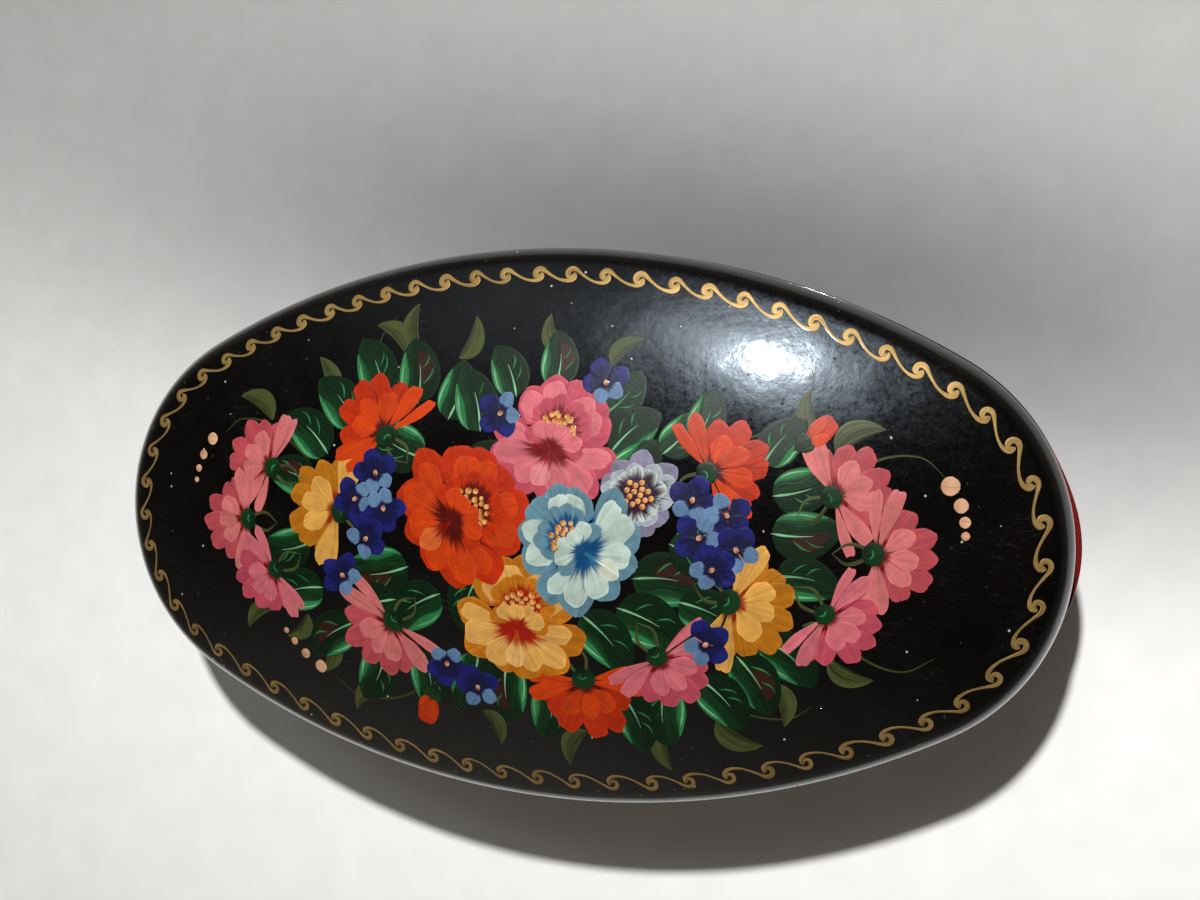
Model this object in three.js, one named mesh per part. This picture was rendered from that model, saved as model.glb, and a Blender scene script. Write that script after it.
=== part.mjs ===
// Oval trinket box pressed from aluminium sheet, lacquered black outside and red inside.
// It comes apart into three pieces: a crowned lid that lifts off, a deep base, and a collar
// that stands in the mouth of the base and guides the lid.
// Millimetres, +Z up, X along the box. The origin is the middle of the plane it stands on.

import * as THREE from 'three';

// Lid, measured over its outside.
const lidLength = 180;
const lidWidth = 102;
const lidEndRadius = 37;
const lidHeight = 18;
const skirtHeight = 4;
const shoulderRadius = 5;
const lidWall = 1;

// Base. Its outline follows from the collar that it holds.
const baseHeight = 31;
const baseWall = 1;
const baseDraft = THREE.MathUtils.degToRad(3);
const cornerRadius = 9;
const footWidth = 5;
const panelLift = 1;
const rampWidth = 2;

// Thumb lip: the stretch at each end where the base's rim is eased outwards.
const lipReach = 1.1;
const lipDrop = 5;
const lipHalfAngle = THREE.MathUtils.degToRad(30);

// Collar, with a slanted edge on top that leads the lid on.
const collarWall = 0.8;
const collarSink = 6;
const leadIn = 0.4;
const leadHeight = 1;

// Clearances: the lid's play over the collar, and the gap between parts that rest together.
const lidPlay = 0.4;
const seatGap = 0.3;

// Facets. Shares of the way from the crown's edge to its middle, and of the lip's drop.
const endSteps = 24;
const sideSteps = 26;
const shoulderSteps = 6;
const cornerSteps = 5;
const settlingPasses = 12;
const crownShares = [0.16, 0.32, 0.47, 0.61, 0.74, 0.86];
const lipDropShares = [1, 0.7, 0.4, 0.2, 0];

// Outline

// An oval of two end arcs and two side arcs that share their tangents. Each station on it
// keeps the outward direction and the centre of its arc, so that a ring moved inwards only
// takes a smaller radius. reach is how far the tangent lies from the middle of the oval.
function makeStations(length, width, endRadius) {
  const endCentre = length / 2 - endRadius;
  const halfWidth = width / 2;
  const sideRadius =
    (endCentre ** 2 + halfWidth ** 2 - endRadius ** 2) / (2 * (halfWidth - endRadius));
  const sideCentre = sideRadius - halfWidth;
  const meeting = Math.atan2(sideCentre, endCentre);
  const end = { half: meeting, steps: endSteps, radius: endRadius };
  const side = { half: Math.PI / 2 - meeting, steps: sideSteps, radius: sideRadius };
  const arcs = [
    { ...end, middle: 0, centre: new THREE.Vector2(endCentre, 0) },
    { ...side, middle: Math.PI / 2, centre: new THREE.Vector2(0, -sideCentre) },
    { ...end, middle: Math.PI, centre: new THREE.Vector2(-endCentre, 0) },
    { ...side, middle: -Math.PI / 2, centre: new THREE.Vector2(0, sideCentre) },
  ];
  const stations = [];
  for (const { half, steps, radius, middle, centre } of arcs) {
    for (let step = 0; step < steps; step += 1) {
      const angle = middle + half * (2 * step / steps - 1);
      const direction = new THREE.Vector2(Math.cos(angle), Math.sin(angle));
      stations.push({ direction, centre, radius, reach: centre.dot(direction) + radius });
    }
  }
  return stations;
}

// The point of a station at an inset from the outline, at height z.
function placeAt(station, inset, z) {
  const { centre, direction, radius } = station;
  return new THREE.Vector3(
    centre.x + direction.x * (radius - inset),
    centre.y + direction.y * (radius - inset),
    z,
  );
}

// Moves a point of an outer skin into the sheet, square to that skin. tilt is how far the
// skin's normal points up from the horizontal.
function sinkInto(point, station, tilt, depth) {
  return new THREE.Vector3(
    point.x - station.direction.x * Math.cos(tilt) * depth,
    point.y - station.direction.y * Math.cos(tilt) * depth,
    point.z - Math.sin(tilt) * depth,
  );
}

// Joins rings of as many points each into one closed surface, from the first ring to the last.
// Two tips close its ends. Without tips the last ring joins the first.
function joinRings(rings, tips = []) {
  const around = rings[0].length;
  const points = rings.flat();
  const faces = [];
  const joins = tips.length ? rings.length - 1 : rings.length;
  for (let row = 0; row < joins; row += 1) {
    const near = row * around;
    const far = ((row + 1) % rings.length) * around;
    for (let here = 0; here < around; here += 1) {
      const next = (here + 1) % around;
      faces.push(near + here, far + here, near + next);
      faces.push(near + next, far + here, far + next);
    }
  }
  if (tips.length) {
    const [firstTip, lastTip] = [points.length, points.length + 1];
    const lastRing = (rings.length - 1) * around;
    points.push(...tips);
    for (let here = 0; here < around; here += 1) {
      const next = (here + 1) % around;
      faces.push(firstTip, here, next);
      faces.push(lastTip, lastRing + next, lastRing + here);
    }
  }
  const geometry = new THREE.BufferGeometry().setFromPoints(points);
  geometry.setIndex(faces);
  geometry.computeVertexNormals();
  return geometry;
}

// Lid

// The shoulder's arc ends where it has the slope with which the crown sets off. The crown
// falls with the square of the way out, so it meets its edge at twice its mean slope.
function findShoulderEnd(station) {
  let tilt = Math.PI / 2;
  for (let pass = 0; pass < settlingPasses; pass += 1) {
    const reach = station.reach - shoulderRadius * (1 - Math.cos(tilt));
    const rise = lidHeight - skirtHeight - shoulderRadius * Math.sin(tilt);
    tilt = Math.atan2(reach, 2 * rise);
  }
  return tilt;
}

// One ring of the shoulder, at a share of its arc, in the skin or sunk into the sheet.
function shoulderRing(stations, share, depth) {
  return stations.map((station) => {
    const tilt = findShoulderEnd(station) * share;
    const inset = shoulderRadius * (1 - Math.cos(tilt));
    const z = skirtHeight + shoulderRadius * Math.sin(tilt);
    return sinkInto(placeAt(station, inset, z), station, tilt, depth);
  });
}

// One ring of the crown, at a share of the way from its middle to the shoulder.
function crownRing(stations, share, depth) {
  return stations.map((station) => {
    const endTilt = findShoulderEnd(station);
    const inset = shoulderRadius * (1 - Math.cos(endTilt));
    const edgeHeight = skirtHeight + shoulderRadius * Math.sin(endTilt);
    const rise = lidHeight - edgeHeight;
    const edge = placeAt(station, inset, edgeHeight);
    const point = new THREE.Vector3(
      edge.x * share,
      edge.y * share,
      lidHeight - rise * share ** 2,
    );
    const tilt = Math.atan2(station.reach - inset, 2 * rise * share);
    return sinkInto(point, station, tilt, depth);
  });
}

// The lid's rings from its middle down to its rim, in the skin or sunk into the sheet.
function lidRings(stations, depth) {
  const rings = crownShares.map((share) => crownRing(stations, share, depth));
  for (let step = shoulderSteps; step >= 0; step -= 1) {
    rings.push(shoulderRing(stations, step / shoulderSteps, depth));
  }
  rings.push(stations.map((station) => placeAt(station, depth, 0)));
  return rings;
}

function makeLidShell() {
  const stations = makeStations(lidLength, lidWidth, lidEndRadius);
  const outside = lidRings(stations, 0);
  const inside = lidRings(stations, lidWall).reverse();
  const tips = [
    new THREE.Vector3(0, 0, lidHeight),
    new THREE.Vector3(0, 0, lidHeight - lidWall),
  ];
  return joinRings([...outside, ...inside], tips);
}

// Base

// How far the drafted wall comes in over a drop.
function draftOver(drop) {
  return drop * Math.tan(baseDraft);
}

// How far the thumb lip carries the rim out at a station. It swells from nothing at each
// side of the end to its full reach on the axis.
function lipAt(station) {
  const offAxis = Math.abs(Math.asin(station.direction.y));
  if (offAxis >= lipHalfAngle) {
    return 0;
  }
  return lipReach * Math.cos(Math.PI / 2 * offAxis / lipHalfAngle) ** 2;
}

// One ring of the upper wall, at a share of the lip's drop under the rim. The lip fades
// with the square of what is left of its drop.
function upperWallRing(stations, dropShare, depth) {
  const drop = lipDrop * dropShare;
  return stations.map((station) => {
    const lip = lipAt(station) * (1 - dropShare) ** 2;
    return placeAt(station, draftOver(drop) + depth - lip, baseHeight - drop);
  });
}

// The base's rings from the middle of its floor out and up to its rim. Over the flat floor
// the sheet's thickness is upright, on the wall it is level, and in the corner it turns.
function baseRings(stations, depth) {
  const cornerTop = cornerRadius * (1 - Math.sin(baseDraft));
  const footEdge = draftOver(baseHeight - cornerTop) + cornerRadius * Math.cos(baseDraft);
  const panelEdge = footEdge + footWidth + rampWidth;
  const rings = [
    stations.map((station) => placeAt(station, panelEdge, panelLift + depth)),
    stations.map((station) => placeAt(station, footEdge + footWidth, depth)),
  ];
  for (let step = 0; step <= cornerSteps; step += 1) {
    const tilt = Math.PI / 2 - (Math.PI / 2 - baseDraft) * step / cornerSteps;
    const inset = footEdge - (cornerRadius - depth) * Math.cos(tilt);
    const z = cornerRadius - (cornerRadius - depth) * Math.sin(tilt);
    rings.push(stations.map((station) => placeAt(station, inset, z)));
  }
  for (const share of lipDropShares) {
    rings.push(upperWallRing(stations, share, depth));
  }
  return rings;
}

// The base's rim goes round the collar, which rests against the drafted wall at its foot.
function makeBaseShell() {
  const outset = seatGap + draftOver(collarSink) + baseWall - lidWall - lidPlay;
  const stations = makeStations(
    lidLength + 2 * outset,
    lidWidth + 2 * outset,
    lidEndRadius + outset,
  );
  const inside = baseRings(stations, baseWall);
  const outside = baseRings(stations, 0).reverse();
  const tips = [
    new THREE.Vector3(0, 0, panelLift + baseWall),
    new THREE.Vector3(0, 0, panelLift),
  ];
  return joinRings([...inside, ...outside], tips);
}

// Collar

// Its foot is sunk in the base, and its top ends where the lid's straight skirt does.
function makeLocatingCollar() {
  const stations = makeStations(lidLength, lidWidth, lidEndRadius);
  const height = collarSink + seatGap + skirtHeight;
  const outerInset = lidWall + lidPlay;
  const section = [
    { inset: outerInset + leadIn, z: height },
    { inset: outerInset, z: height - leadHeight },
    { inset: outerInset, z: 0 },
    { inset: outerInset + collarWall, z: 0 },
    { inset: outerInset + collarWall, z: height },
  ];
  return joinRings(section.map(({ inset, z }) => stations.map((station) => placeAt(station, inset, z))));
}

// Lacquers

const blackLacquer = new THREE.MeshStandardMaterial({ color: 0x14100e, roughness: 0.2, metalness: 0 });
const blackBase = new THREE.MeshStandardMaterial({ color: 0x181311, roughness: 0.25, metalness: 0 });
const redLacquer = new THREE.MeshStandardMaterial({ color: 0x7d1512, roughness: 0.3, metalness: 0 });

// Assembly

function addPiece(parent, name, geometry, material, z) {
  const piece = new THREE.Mesh(geometry, material);
  piece.name = name;
  piece.position.z = z;
  parent.add(piece);
}

const box = new THREE.Group();
addPiece(box, 'base_shell', makeBaseShell(), blackBase, 0);
addPiece(box, 'locating_collar', makeLocatingCollar(), redLacquer, baseHeight - collarSink);
addPiece(box, 'lid_shell', makeLidShell(), blackLacquer, baseHeight + seatGap);

export default box;
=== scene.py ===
"""Oval trinket box of lacquered aluminium: black outside, red inside, with a gold running
scroll and a freehand bouquet on its crowned lid. Metres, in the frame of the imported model.

The lid, base and collar are made again, finer, by the rules that gave them their shape.
All painting is a skin of brush strokes that lie on the lid, and on each other in the order
in which they were made. The bouquet is worked out in shares of the lid's half length.
"""

import math

import bpy
import numpy as np
from mathutils import Matrix, Vector
from mathutils.bvhtree import BVHTree


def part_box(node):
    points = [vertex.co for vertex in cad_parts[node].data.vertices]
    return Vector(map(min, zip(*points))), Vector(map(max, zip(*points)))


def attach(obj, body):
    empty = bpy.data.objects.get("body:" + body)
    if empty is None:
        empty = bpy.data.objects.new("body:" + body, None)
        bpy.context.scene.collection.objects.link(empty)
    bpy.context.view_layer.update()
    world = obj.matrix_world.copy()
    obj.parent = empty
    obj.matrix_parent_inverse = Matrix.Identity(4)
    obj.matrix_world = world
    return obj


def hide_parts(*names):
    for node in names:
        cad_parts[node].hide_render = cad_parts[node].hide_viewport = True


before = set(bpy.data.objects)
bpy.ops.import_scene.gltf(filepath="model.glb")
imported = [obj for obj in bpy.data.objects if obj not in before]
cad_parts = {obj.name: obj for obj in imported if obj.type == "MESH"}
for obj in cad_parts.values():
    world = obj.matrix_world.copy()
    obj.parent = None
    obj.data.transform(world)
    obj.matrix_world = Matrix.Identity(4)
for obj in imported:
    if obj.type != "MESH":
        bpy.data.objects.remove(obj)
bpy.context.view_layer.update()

# Sizes that the frame gives.
lid_low, lid_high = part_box("lid_shell")
base_low, base_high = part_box("base_shell")
collar_low, collar_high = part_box("locating_collar")
LID_LENGTH = lid_high.x - lid_low.x
LID_WIDTH = lid_high.y - lid_low.y
LID_HEIGHT = lid_high.z - lid_low.z
LID_FOOT = lid_low.z
BASE_HEIGHT = base_high.z - base_low.z
BASE_OUTSET = base_high.y - lid_high.y
COLLAR_INSET = lid_high.y - collar_high.y
COLLAR_FOOT = collar_low.z
COLLAR_TOP = collar_high.z

# Lid.
END_RADIUS = 0.037
SKIRT_HEIGHT = 0.004
SHOULDER_RADIUS = 0.005
LID_WALL = 0.001

# Base.
BASE_WALL = 0.001
BASE_DRAFT = math.radians(3)
CORNER_RADIUS = 0.009
FOOT_WIDTH = 0.005
PANEL_LIFT = 0.001
RAMP_WIDTH = 0.002
LIP_REACH = 0.0011
LIP_DROP = 0.005
LIP_HALF_ANGLE = math.radians(30)

# Collar.
COLLAR_WALL = 0.0008
LEAD_IN = 0.0004
LEAD_HEIGHT = 0.001

# The sheet's edges are dressed to this radius. The black lacquer outside goes this far over
# the rim of the base, but not where a thumb lip reaches out by more than RED_LIP: there the
# red goes over the rim.
EDGE_ROUND = 0.0002
BLACK_RIM = 0.00045
RED_LIP = 0.00002

# How worn the lid's cut edge and the rims of the base are. Where it comes to more than one
# half, bare metal shows in patches.
EDGE_WEAR = 1.2
RIM_WEAR = 0.9
WORN_FOOT_RINGS = 3

# Facets.
END_STEPS = 64
SIDE_STEPS = 80
CROWN_STEPS = 56
SHOULDER_STEPS = 14
SKIRT_STEPS = 4
CORNER_STEPS = 12
WALL_STEPS = 14
PANEL_STEPS = 10
RAMP_STEPS = 6
EDGE_STEPS = 4
SETTLING_PASSES = 12
SHARP_ANGLE = math.radians(50)

# Paint: one coat's thickness, how far its edge goes under the lacquer, and the cell in
# which coats are counted.
COAT = 0.000003
RELIEF = 0.000002
FIRST_COAT = 0.00001
SINK = 0.00002
STACK_CELL = 0.0004
STACK_HALF = math.ceil(LID_LENGTH / STACK_CELL)
STACK_REACH = 3
STACK_SHARES = (0, 1 / 3, 2 / 3, 1)

# Each lacquer: its colour, that of its deeper patches, its haze and its share of dust.
BLACK_LACQUER = ((0.0034, 0.0024, 0.0018), (0.0018, 0.0013, 0.001), 0.21, 0.09)
RED_LACQUER = ((0.22, 0.012, 0.009), (0.15, 0.007, 0.006), 0.34, 0.03)

# Marks in the lacquer: their size across, then how high or deep they are.
PATCH_SIZE = 0.012
BLOTCH_SIZE = 0.0013
SCUFF_SIZE = 0.0011
SCUFF_STRETCH = (0.12, 1, 1)
SCRATCH_WIDTH = 0.012
SWELL_SIZE, SWELL_DEPTH = 0.009, 0.00012
PEEL_SIZE, PEEL_DEPTH = 0.0016, 0.00002
GRAIN_SIZE, GRAIN_DEPTH = 0.0005, 0.000005
SPECK_CELL, SPECK_HEIGHT = 0.002, 0.00008
WEAR_SIZE = 0.006
DUST_COLOUR = (0.6, 0.58, 0.54, 1)
BARE_COLOUR = (0.4, 0.39, 0.38, 1)

# Each paint: how rough and how metallic it is, the strength of its streaks and its piled
# rims, and how much clear coat lies on it.
GOLD_PAINT = (0.5, 0.45, 0.12, 0.0, 0.2)
FLOWER_PAINT = (0.45, 0.0, 0.2, 0.3, 0.15)
GOLD_LIGHT, GOLD_DARK = "#A98A54", "#8A6E38"

# Marks in the paint: how many bristles and ridges there are to a metre along and across a
# stroke, how far the bristles draw dark into light, and the sizes of thin and piled places.
FINE_BRISTLES = (120, 4200, 1)
BROAD_BRISTLES = (60, 1600, 1)
RIDGES = (1500, 130, 1)
BRISTLE_DRAW = 7.0
THIN_SIZE = 0.0022
PILE_SIZE = 0.0015
STROKE_DEPTH = 0.00004

# Gold border, measured along the lid.
BORDER_INSET = 0.0049
BORDER_UNITS = 64
BORDER_WIDTH = 0.00076
BORDER_RELIEF = 0.00001

# Drops of thick paint.
DOT_RELIEF = 0.00003
DOT_RELIEF_SHARE = 0.06

# Camera, lamps and floor.
CAMERA_PLACE = Vector((0.07422, 0.03257, 0.26193))
CAMERA_AIM = Vector((0.00906, 0.01485, 0.04))
CAMERA_UP = Vector((-0.0429, 0.9968, -0.067))
CAMERA_LENS = 39
CAMERA_SENSOR = 36
LAMP_AIM = Vector((0.0398, 0.0324, 0.0431))
LAMP_DIRECTION = Vector((0.027, 0.485, 0.874))
LAMP_DISTANCE = 0.45
LAMP_SIZE = 0.021
LAMP_POWER = 2.3
SKY_COLOUR = (1, 0.86, 0.71, 1)
HORIZON_STRENGTH = 0.12
ZENITH_STRENGTH = 0.016
HORIZON_TOP = 0.05
ZENITH_FOOT = 0.7
# Soft brighter places in the sky: direction, colour, strength and how narrow each is.
SKY_LOBES = [
    (Vector((-0.31, -0.85, 0.43)), (1, 0.9, 0.79, 1), 0.22, 6),
    (Vector((-0.09, 0.55, 0.83)), (0.82, 0.91, 1, 1), 3.4, 200),
    (Vector((-0.36, 0.58, 0.73)), (0.86, 0.93, 1, 1), 0.35, 30),
]
FLOOR_SIZE = 6
# Painted shade: the floor's colour darkens from FLOOR_NEAR to FLOOR_FAR, towards the lamp, so that
# the back of the scene looks dimmer.
FLOOR_NEAR = -0.065
FLOOR_FAR = 0.14
FLOOR_SEEN = 1.42
FLOOR_NEAR_COLOUR = (0.95, 0.94, 0.92, 1)
FLOOR_SHADED_FAR_COLOUR = (0.3, 0.297, 0.29, 1)
FLOOR_EDGE_COLOUR = (1, 0.86, 0.72, 1)
FLOOR_EDGE_START = 0.35
FLOOR_EDGE_END = 1.3
# A painted shadow on the floor: a dimmer oval place beyond the box. Its middle, reach and
# turn, and what share of the light is left in its middle.
FLOOR_SHADE_PLACE = Vector((0.028, 0.046, 0))
FLOOR_SHADE_REACH = Vector((0.24, 0.07, 1))
FLOOR_SHADE_TURN = -0.14
FLOOR_SHADE_SHARE = 0.25
FLOOR_GRAIN = 0.009

rng = np.random.default_rng(7)


# Outline

TURN = 2 * math.pi
QUARTER = TURN / 4


def heading(angle):
    return np.stack([np.cos(angle), np.sin(angle)], axis=-1)


def make_oval(outset=0.0):
    """An oval of two end arcs and two side arcs that share their tangents, round the lid's
    outline or outset from it. Each station keeps its outward direction and the centre and
    radius of its arc, so that a ring moved inwards only takes a smaller radius."""
    radius = END_RADIUS + outset
    half_length, half_width = LID_LENGTH / 2 + outset, LID_WIDTH / 2 + outset
    end_centre = half_length - radius
    side_radius = (end_centre**2 + half_width**2 - radius**2) / (2 * (half_width - radius))
    side_centre = half_width - side_radius
    meeting = math.atan2(-side_centre, end_centre)
    end = (meeting, END_STEPS, radius, end_centre)
    side = (QUARTER - meeting, SIDE_STEPS, side_radius, side_centre)
    angles, radii, centres = [], [], []
    for number, (half, steps, arc_radius, arc_centre) in enumerate((end, side, end, side)):
        middle = number * QUARTER
        angles.append(middle + half * (2 * np.arange(steps) / steps - 1))
        radii.append(np.full(steps, arc_radius))
        centres.append(np.tile(arc_centre * heading(middle), (steps, 1)))
    angles, radii, centres = map(np.concatenate, (angles, radii, centres))
    direction = heading(angles)
    reach = (centres * direction).sum(axis=1) + radii
    return {"direction": direction, "centre": centres, "radius": radii, "reach": reach}


def ring(oval, inset, height):
    """The oval's points at an inset from its outline and at a height."""
    plan = oval["centre"] + oval["direction"] * (oval["radius"] - inset)[:, None]
    return np.column_stack([plan, np.broadcast_to(height, len(plan))])


def sink(points, oval, tilt, depth):
    """Moves a skin's points into the sheet, square to the skin. tilt is how far the skin's
    normal points up from the horizontal."""
    normal = np.column_stack([oval["direction"] * np.cos(tilt)[:, None], np.sin(tilt)])
    return points - normal * depth


def ease(values, start, end):
    """Goes smoothly from 0 at start to 1 at end."""
    share = np.clip((values - start) / (end - start), 0, 1)
    return share * share * (3 - 2 * share)


def dressed_edge(wall, sign):
    """Insets and heights over the sheet's rounded edge, from its outer to its inner face.
    sign is 1 where the edge points up and -1 where it points down."""
    turn = np.linspace(0, QUARTER, EDGE_STEPS + 1)
    outer = [(EDGE_ROUND * (1 - math.cos(t)), math.sin(t) - 1) for t in turn]
    inner = [(wall - inset, drop) for inset, drop in reversed(outer)]
    return [(inset, sign * EDGE_ROUND * drop) for inset, drop in outer + inner]


# Meshes


def make_mesh(name, points, faces, materials, face_materials):
    mesh = bpy.data.meshes.new(name)
    mesh.from_pydata(points.tolist(), [], faces)
    for material in materials:
        mesh.materials.append(material)
    mesh.polygons.foreach_set("material_index", np.asarray(face_materials, dtype=np.int32))
    mesh.shade_smooth()
    mesh.set_sharp_from_angle(angle=SHARP_ANGLE)
    mesh.update()
    piece = bpy.data.objects.new(name, mesh)
    bpy.context.scene.collection.objects.link(piece)
    return piece


def join_rings(name, rings, tips, materials, row_materials, wear):
    """Joins rings into one closed surface. Two tips close its ends. Without tips the last
    ring joins the first. Each row's material is a number, or one for each station. wear is
    how worn each ring is."""
    around = len(rings[0])
    points, worn = np.concatenate(rings), np.repeat(wear, around)
    here = np.arange(around)
    after = (here + 1) % around
    faces, face_materials = [], []
    for row in range(len(rings) - 1 if tips else len(rings)):
        near, far = row * around, (row + 1) % len(rings) * around
        quads = np.stack([near + here, far + here, far + after, near + after], axis=1)
        faces.extend(quads.tolist())
        face_materials.extend(np.broadcast_to(row_materials[row], around).tolist())
    if tips:
        first_tip, last_ring = len(points), len(points) - around
        for tip, first, second, row in (
            (first_tip, here, after, 0),
            (first_tip + 1, last_ring + after, last_ring + here, -1),
        ):
            faces.extend(np.stack([np.full(around, tip), first, second], axis=1).tolist())
            face_materials.extend([row_materials[row]] * around)
        points, worn = np.concatenate([points, tips]), np.append(worn, [0, 0])
    piece = make_mesh(name, points, faces, materials, face_materials)
    attribute = piece.data.attributes.new("wear", "FLOAT", "POINT")
    attribute.data.foreach_set("value", worn.astype(np.float32))
    return piece


# Lid


def shoulder(tilt):
    """The inset and height of the shoulder's arc, where its normal points up by tilt."""
    return SHOULDER_RADIUS * (1 - np.cos(tilt)), SKIRT_HEIGHT + SHOULDER_RADIUS * np.sin(tilt)


def find_shoulder_end(oval):
    """Where the shoulder's arc ends at each station: at the slope with which the crown sets
    off, which is twice its mean slope."""
    tilt = np.full(len(oval["reach"]), QUARTER)
    for _ in range(SETTLING_PASSES):
        inset, height = shoulder(tilt)
        tilt = np.arctan2(oval["reach"] - inset, 2 * (LID_HEIGHT - height))
    return tilt


def lid_skin(oval, depth):
    """The lid's rings from its middle down to the foot of its skirt."""
    end_tilt = find_shoulder_end(oval)
    inset, edge_height = shoulder(end_tilt)
    edge = ring(oval, inset, edge_height)
    rise = LID_HEIGHT - edge_height
    rings = []
    for share in np.arange(1, CROWN_STEPS) / CROWN_STEPS:
        points = np.column_stack([edge[:, :2] * share, LID_HEIGHT - rise * share**2])
        tilt = np.arctan2(oval["reach"] - inset, 2 * rise * share)
        rings.append(sink(points, oval, tilt, depth))
    for share in np.linspace(1, 0, SHOULDER_STEPS + 1):
        tilt = end_tilt * share
        rings.append(sink(ring(oval, *shoulder(tilt)), oval, tilt, depth))
    for share in np.linspace(1, 0, SKIRT_STEPS + 1)[1:-1]:
        rings.append(ring(oval, depth, SKIRT_HEIGHT * share))
    return rings


def make_lid(outer, inner):
    oval = make_oval()
    outside, inside = lid_skin(oval, 0), lid_skin(oval, LID_WALL)
    edge = [ring(oval, inset, drop) for inset, drop in dressed_edge(LID_WALL, -1)]
    rings = [points + [0, 0, LID_FOOT] for points in outside + edge + inside[::-1]]
    top = LID_FOOT + LID_HEIGHT
    tips = [[0, 0, top], [0, 0, top - LID_WALL]]
    black_rows = len(outside) + EDGE_STEPS
    row_materials = [0] * black_rows + [1] * (len(rings) - black_rows)
    wear = np.zeros(len(rings))
    wear[len(outside) + 1 : len(outside) + len(edge)] = EDGE_WEAR
    lid = join_rings("painted_lid", rings, tips, [outer, inner], row_materials, wear)
    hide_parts("lid_shell")
    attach(lid, "lid")
    return lid


# Base


def lip_at(oval):
    """How far the thumb lip carries the rim out at each station."""
    off_axis = np.abs(np.arcsin(oval["direction"][:, 1]))
    swell = np.cos(QUARTER * np.minimum(off_axis / LIP_HALF_ANGLE, 1)) ** 2
    return LIP_REACH * swell


def base_skin(oval, depth):
    """The base's rings from the middle of its floor out and up to just under its rim."""
    corner_top = CORNER_RADIUS * (1 - math.sin(BASE_DRAFT))
    draft = math.tan(BASE_DRAFT)
    foot_edge = draft * (BASE_HEIGHT - corner_top) + CORNER_RADIUS * math.cos(BASE_DRAFT)
    ramp_foot = foot_edge + FOOT_WIDTH
    rings = []
    panel = ring(oval, ramp_foot + RAMP_WIDTH, PANEL_LIFT + depth)
    for share in np.arange(1, PANEL_STEPS) / PANEL_STEPS:
        rings.append(np.column_stack([panel[:, :2] * share, panel[:, 2]]))
    for share in np.linspace(1, 0, RAMP_STEPS + 1):
        height = PANEL_LIFT * ease(share, 0, 1) + depth
        rings.append(ring(oval, ramp_foot + RAMP_WIDTH * share, height))
    for tilt in np.linspace(QUARTER, BASE_DRAFT, CORNER_STEPS + 1):
        inset = foot_edge - (CORNER_RADIUS - depth) * math.cos(tilt)
        height = CORNER_RADIUS - (CORNER_RADIUS - depth) * math.sin(tilt)
        rings.append(ring(oval, inset, height))
    wall_foot = rings[-1][0, 2]
    rim = BASE_HEIGHT - EDGE_ROUND
    for height in np.linspace(wall_foot, rim, WALL_STEPS + 1)[1:-1]:
        drop = BASE_HEIGHT - height
        lip = lip_at(oval) * max(0, 1 - drop / LIP_DROP) ** 2
        rings.append(ring(oval, draft * drop + depth - lip, height))
    return rings


def make_base(outer, inner):
    oval = make_oval(BASE_OUTSET)
    inside, outside = base_skin(oval, BASE_WALL), base_skin(oval, 0)
    lip = lip_at(oval)
    section = dressed_edge(BASE_WALL, 1)
    section.insert(EDGE_STEPS + 1, (BLACK_RIM, 0))
    edge = [ring(oval, inset - lip, BASE_HEIGHT + drop) for inset, drop in section]
    rings = inside + edge[::-1] + outside[::-1]
    tips = [[0, 0, PANEL_LIFT + BASE_WALL], [0, 0, PANEL_LIFT]]
    red_rows = len(inside) + EDGE_STEPS + 1
    row_materials = [1] * red_rows + [(lip > RED_LIP).astype(int)] * (EDGE_STEPS + 1)
    row_materials += [0] * (len(rings) - len(row_materials))
    wear = np.zeros(len(rings))
    wear[len(inside) : len(inside) + len(edge)] = RIM_WEAR
    foot_row = len(rings) - PANEL_STEPS + 1 - RAMP_STEPS
    wear[foot_row - WORN_FOOT_RINGS : foot_row] = RIM_WEAR
    base = join_rings("lacquered_base", rings, tips, [outer, inner], row_materials, wear)
    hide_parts("base_shell")
    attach(base, "base")
    return base


# Collar


def make_collar(lacquer):
    oval = make_oval()
    height = COLLAR_TOP - COLLAR_FOOT
    section = [
        (LEAD_IN, height),
        (LEAD_IN / 3, height - LEAD_HEIGHT / 2),
        (0, height - LEAD_HEIGHT),
        (0, height / 2),
        (0, EDGE_ROUND),
        (EDGE_ROUND, 0),
        (COLLAR_WALL - EDGE_ROUND, 0),
        (COLLAR_WALL, EDGE_ROUND),
        (COLLAR_WALL, height / 2),
        (COLLAR_WALL, height - EDGE_ROUND),
        (COLLAR_WALL - EDGE_ROUND / 2, height),
    ]
    rings = [ring(oval, COLLAR_INSET + inset, COLLAR_FOOT + z) for inset, z in section]
    wear = [RIM_WEAR] * 3 + [0] * 7 + [RIM_WEAR]
    collar = join_rings("guide_collar", rings, [], [lacquer], [0] * len(rings), wear)
    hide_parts("locating_collar")
    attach(collar, "base")
    return collar


# Materials


def linear(code):
    """A colour written as #RRGGBB, as linear red, green and blue."""
    parts = [int(code[start : start + 2], 16) / 255 for start in (1, 3, 5)]
    return [p / 12.92 if p <= 0.04045 else ((p + 0.055) / 1.055) ** 2.4 for p in parts]


class Field:
    """What a node puts out, which can be added, taken away and multiplied."""

    def __init__(self, tree, socket):
        self.tree, self.socket = tree, socket

    def __add__(self, other):
        return self.tree.math("ADD", self, other)

    def __sub__(self, other):
        return self.tree.math("SUBTRACT", self, other)

    def __rsub__(self, other):
        return self.tree.math("SUBTRACT", other, self)

    def __mul__(self, other):
        return self.tree.math("MULTIPLY", self, other)

    def __abs__(self):
        return self.tree.math("ABSOLUTE", self)


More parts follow.
